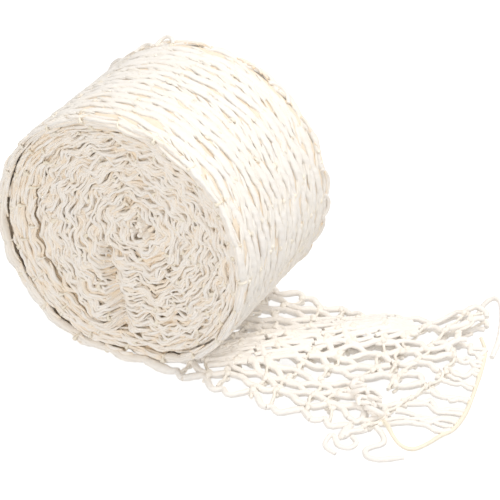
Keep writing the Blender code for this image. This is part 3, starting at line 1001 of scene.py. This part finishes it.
def tail_piece(name, x_start, x_end, seed):
    hank = Hank()
    start, end = run_at_x(x_end), run_at_x(x_start)
    for layer in (OUTER, INNER):
        for column in range(COLUMNS):
            for member in (-1, 1):
                lay_strand(hank, start, end, column, member, layer, step=0.0013)
        for row in rows_within(start, end):
            lay_ring(hank, row, layer)
    gathered_fold(hank, x_start, x_end)
    return hank.spin(name, sides=8, lump=0.55, seed=seed)


TAIL_CUTS = [TAIL_START - WRAP_START] + [x + TAIL_SEGMENT / 2 for x in HINGES[:-1]]
TAIL = []
for number in range(4):
    piece = tail_piece(f"tail_net_piece_{number + 1}", TAIL_CUTS[number], TAIL_CUTS[number + 1],
                       10.0 + number)
    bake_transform(piece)
    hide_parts(f"tail_net_{number + 1}")
    TAIL.append(piece)

# %% [markdown]
# ## The mouth
# At the open end the two layers separate. The lower one lies on the table, and from its last ring
# thread a fan of half unravelled strands reaches to a thread that has been pulled out in a wide
# loop. The upper one stands off at its far corner.
# %% The lower layer and the fan
PULLED_THREAD_ROUTE = [
    (0.0097, -0.0207, 0.0012), (0.0127, -0.0245, 0.0032), (0.0162, -0.0284, 0.0034),
    (0.0202, -0.0306, 0.0020), (0.0245, -0.0296, 0.0009), (0.0277, -0.0240, 0.0007),
    (0.0300, -0.0175, 0.0007), (0.0325, -0.0120, 0.0007), (0.0327, -0.0020, 0.0007),
    (0.0311, 0.0090, 0.0007), (0.0289, 0.0200, 0.0007), (0.0269, 0.0295, 0.0008),
    (0.0243, 0.0370, 0.0011), (0.0203, 0.0430, 0.0011),
]


def smooth_route(route, step):
    """Points on a smooth curve through the route's own points."""
    points = [np.array(p, float) + (LAYERS_START, 0, 0) for p in route]
    points = [2 * points[0] - points[1]] + points + [2 * points[-1] - points[-2]]
    fine = []
    for a, b, c, d in zip(points, points[1:], points[2:], points[3:]):
        for t in np.arange(12) / 12:
            fine.append(0.5 * (2 * b + (c - a) * t + (2 * a - 5 * b + 4 * c - d) * t * t
                               + (3 * b - a - 3 * c + d) * t ** 3))
    fine = np.array(fine + [points[-2]])
    far = np.append(0, np.cumsum(np.linalg.norm(np.diff(fine, axis=0), axis=1)))
    place = np.linspace(0, far[-1], max(int(far[-1] / step), 8) + 1)
    points = np.stack([np.interp(place, far, fine[:, k]) for k in range(3)], axis=1)
    points[1:-1] = 0.5 * points[1:-1] + 0.25 * (points[:-2] + points[2:])
    return points, np.linalg.norm(np.diff(points, axis=0), axis=1).sum()


def bridge_strand(hank, start, end, girth, seed, sag, side):
    """A slack strand between two points, wavy in the plane of the table."""
    t = np.linspace(0, 1, 16)
    start, end = np.asarray(start, float), np.asarray(end, float)
    way = end - start
    flat = np.array((-way[1], way[0], 0)) / max(np.hypot(way[0], way[1]), 1e-6)
    wave = side * np.sin(math.pi * t) * (wander(t, seed, 0.3) + 0.6 * wander(t, seed + 1, 0.14))
    points = start + way * t[:, None] + flat * wave[:, None]
    points[:, 2] += sag * np.sin(math.pi * t)
    thick = girth * (1 + 0.15 * wander(t, seed + 2, 0.2))
    hank.lay(on_table(points, girth * 0.9), (0, 0, 1), thick, 0.85)


BROKEN = {(2, 1), (4, -1), (6, 1)}     # strands that end where the mouth begins


def tangle(hank):
    """The knot of slack strands beside the near corner of the mouth."""
    chance = np.random.default_rng(515)
    for _ in range(17):
        far = chance.uniform(-1, 1, 2)
        middle = np.array((LAYERS_START - 0.0005 + 0.0062 * far[0],
                           -0.0142 - 0.0036 * far[0] + 0.0034 * far[1],
                           0.0026 + chance.uniform(0, 0.0020)))
        angle = chance.uniform(0, 6.28) + np.linspace(0, chance.uniform(2.6, 5.2), 12)
        wide, tall = chance.uniform(0.0016, 0.0034), chance.uniform(0.3, 0.9)
        points = np.stack([middle[0] + wide * np.cos(angle),
                           middle[1] + wide * tall * np.sin(angle),
                           middle[2] + 0.0011 * np.sin(angle * 1.5 + far[0])], axis=1)
        girth = chance.uniform(0.0008, 0.00115) * (1 - 0.4 * np.abs(np.linspace(-1, 1, 12)) ** 4)
        hank.lay(on_table(points, 0.0008), (0, 0, 1), girth, 0.9)


def mouth_columns(row):
    """The last rings but one leave out the near corner, where the strands are bunched."""
    inside_mouth = run_at_x(LAYERS_START + FAR_REACH) + 0.001 < RINGS[row] < run_at_x(LAYERS_START)
    return range(3 if inside_mouth else 0, COLUMNS)


def lower_mouth():
    hank = Hank()
    start, end = run_at_x(LAYERS_START + FAR_REACH), run_at_x(TAIL_CUTS[4])
    for column in range(COLUMNS):
        for member in (-1, 1):
            lay_strand(hank, RINGS[2] if (column, member) in BROKEN else start, end, column, member,
                       OUTER, step=0.0013)
            lay_strand(hank, run_at_x(LAYERS_START - 0.0018), end, column, member, INNER,
                       step=0.0013)
    for row in rows_within(start - 0.001, end):
        lay_ring(hank, row, OUTER, mouth_columns(row))
    for row in rows_within(run_at_x(LAYERS_START - 0.0018), end):
        lay_ring(hank, row, INNER)
    gathered_fold(hank, TAIL_CUTS[4], MOUTH_START + 0.004)
    tangle(hank)
    pulled, _ = smooth_route(PULLED_THREAD_ROUTE, 0.001)
    chance = np.random.default_rng(88)
    for index in range(8):
        share = 0.14 + 0.66 * (index + chance.uniform(-0.3, 0.3)) / 7
        from_edge, _ = tail_place(np.array([start]), np.array([share]), np.array([0.0008]), False)
        place = 0.40 + 0.47 * (index + chance.uniform(-0.35, 0.35)) / 7
        to = pulled[int(len(pulled) * place)] - (0.0005, 0, 0)
        for member in (-1, 1):
            shift = np.array((0.0, member * chance.uniform(0.0008, 0.0013), 0.0))
            bridge_strand(hank, from_edge[0] + shift * 0.6, to + shift, 0.00105,
                          800 + index * 7 + member, side=0.0032, sag=0.0006)
    return hank.spin("mouth_lower_net", sides=8, lump=0.55, seed=20.0)


MOUTH_LOWER = lower_mouth()
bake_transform(MOUTH_LOWER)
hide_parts("mouth_root", "mouth_lower_layer")

# %% The upper layer


def upper_mouth():
    hank = Hank()
    start, end = run_at_x(LAYERS_START + FAR_REACH), run_at_x(LAYERS_START - 0.0018)
    for column in range(COLUMNS):
        for member in (-1, 1):
            if (column, member) not in BROKEN:
                lay_strand(hank, start, end, column, member, INNER, step=0.0013, upper=True)
    for row in rows_within(start - 0.001, end):
        lay_ring(hank, row, INNER, mouth_columns(row), upper=True)
    return hank.spin("mouth_upper_net", sides=8, lump=0.55, seed=21.0)


MOUTH_UPPER = upper_mouth()
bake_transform(MOUTH_UPPER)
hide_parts("mouth_upper_layer")

# %% [markdown]
# ## Four loose threads
# The pulled ring thread, the ear-shaped loop at the far corner and two cut strand ends hang out
# of the mouth. Each is a free cord of its own length, and follows the same points as its CAD
# node, with its corners rounded a little. Three of them still bend more tightly than such yarn
# would; a wider route would have to start in the CAD model.
# %% Loose threads
EAR_LOOP_ROUTE = [
    (0.0285, 0.0334, 0.0012), (0.0277, 0.0410, 0.0026), (0.0255, 0.0495, 0.0042),
    (0.0223, 0.0575, 0.0054), (0.0193, 0.0628, 0.0056), (0.0163, 0.0642, 0.0050),
    (0.0143, 0.0616, 0.0038), (0.0137, 0.0570, 0.0022), (0.0140, 0.0527, 0.0012),
]
CUT_FRONT_ROUTE = [
    (0.0084, -0.0247, 0.0010), (0.0123, -0.0276, 0.0010), (0.0145, -0.0314, 0.0010),
    (0.0123, -0.0348, 0.0010), (0.0105, -0.0380, 0.0010), (0.0131, -0.0412, 0.0010),
    (0.0175, -0.0400, 0.0010), (0.0211, -0.0372, 0.0010), (0.0239, -0.0352, 0.0010),
]
CUT_SIDE_ROUTE = [
    (0.0035, -0.0336, 0.0010), (0.0063, -0.0360, 0.0010), (0.0053, -0.0398, 0.0010),
    (0.0015, -0.0406, 0.0010), (-0.0011, -0.0378, 0.0010), (-0.0031, -0.0356, 0.0010),
    (-0.0037, -0.0392, 0.0010), (-0.0023, -0.0432, 0.0010), (0.0025, -0.0451, 0.0010),
]


def loose_cord(name, node, route, diameter, far_end, material, ivory, seed):
    points, length = smooth_route(route, 0.0011)
    hank = Hank()
    count = len(points)
    girth = diameter / 2 * (1 + 0.10 * wander(np.arange(count) * 0.001, seed, 0.006))
    if far_end == "bare":
        girth = girth * (1 - 0.35 * ease((np.arange(count) - count + 5) / 5))
    hank.lay(points, (0, 0, 1), girth, 0.92, 0.0, 0.0, ivory)
    piece = hank.spin(name, material, sides=10, lump=0.25, seed=float(seed))
    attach(piece, "mouth")
    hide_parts(node)
    print(f"{name}: {length * 1000:.0f} mm long")


loose_cord("pulled_thread", "pulled_ring_thread", PULLED_THREAD_ROUTE, 0.0016, "object",
           THREAD_COTTON, 0.8, 31)
loose_cord("ear_loop", "ear_loop_strand", EAR_LOOP_ROUTE, 0.0020, "object",
           NET_COTTON, 0.0, 32)
loose_cord("cut_end_front", "cut_strand_front", CUT_FRONT_ROUTE, 0.0022, "bare",
           NET_COTTON, 0.0, 33)
loose_cord("cut_end_side", "cut_strand_side", CUT_SIDE_ROUTE, 0.0020, "bare",
           NET_COTTON, 0.0, 34)


def wound_length(first, last):
    return run_of(last) - run_of(first)


for (shear, rest), (first, last), below in (
        (MIDDLE, (5, 9), "inner_turns"), (INNER_TURNS, (9, 12), "core_turns"),
        (CORE, (12, 14.9), "core_twist")):
    wound_length(first, first + HALF_TURN)
    wound_length(first + HALF_TURN, last)
for number, piece in enumerate(TAIL):
    TAIL_CUTS[number + 1] - TAIL_CUTS[number]

# %% [markdown]
# ## Table and light
# The net lies on a plain white table, under one broad soft lamp above and behind, a weaker one in
# front, and an even white room. The table is hidden from bounced light, which would wash out the
# thin strands that lie close to it.
# %% Table and light


def table_top():
    mesh = bpy.data.meshes.new("table_top")
    half, z = 3.0, -0.0011               # just under the lowest fibres
    mesh.from_pydata([(-half, -half, z), (half, -half, z), (half, half, z), (-half, half, z)],
                     [], [(0, 1, 2, 3)])
    table = bpy.data.objects.new("table_top", mesh)
    material = bpy.data.materials.new("white_table")
    material.use_nodes = True
    shader = material.node_tree.nodes["Principled BSDF"]
    shader.inputs["Base Color"].default_value = (0.55, 0.55, 0.55, 1)
    shader.inputs["Roughness"].default_value = 0.9
    shader.inputs["Emission Color"].default_value = (1, 1, 1, 1)
    shader.inputs["Emission Strength"].default_value = 0.68
    mesh.materials.append(material)
    bpy.context.scene.collection.objects.link(table)
    table.visible_diffuse = False
    return table


def soft_lamp(name, place, target, size, power, colour):
    data = bpy.data.lights.new(name, "AREA")
    data.shape, data.size, data.energy, data.color = "DISK", size, power, colour
    lamp = bpy.data.objects.new(name, data)
    lamp.location = place
    lamp.rotation_euler = (Vector(target) - Vector(place)).to_track_quat("-Z", "Y").to_euler()
    bpy.context.scene.collection.objects.link(lamp)


table_top()
soft_lamp("broad_lamp", (0.45, 0.30, 1.15), (0.02, 0, 0.04), 0.8, 7.8, (1.0, 0.985, 0.955))
soft_lamp("front_lamp", (0.2, -1.3, 0.35), (0.02, 0, 0.04), 0.9, 5.8, (1.0, 0.98, 0.95))
world = bpy.data.worlds.new("white_room")
world.use_nodes = True
world.node_tree.nodes["Background"].inputs["Color"].default_value = (1.0, 0.99, 0.98, 1)
world.node_tree.nodes["Background"].inputs["Strength"].default_value = 0.66
bpy.context.scene.world = world
bpy.context.scene.view_settings.view_transform = "Standard"

# %% [markdown]
# ## The end
# The yarn stays within the CAD model's box, apart from the little that soft cotton stands proud.
# %% The end
bpy.context.view_layer.update()
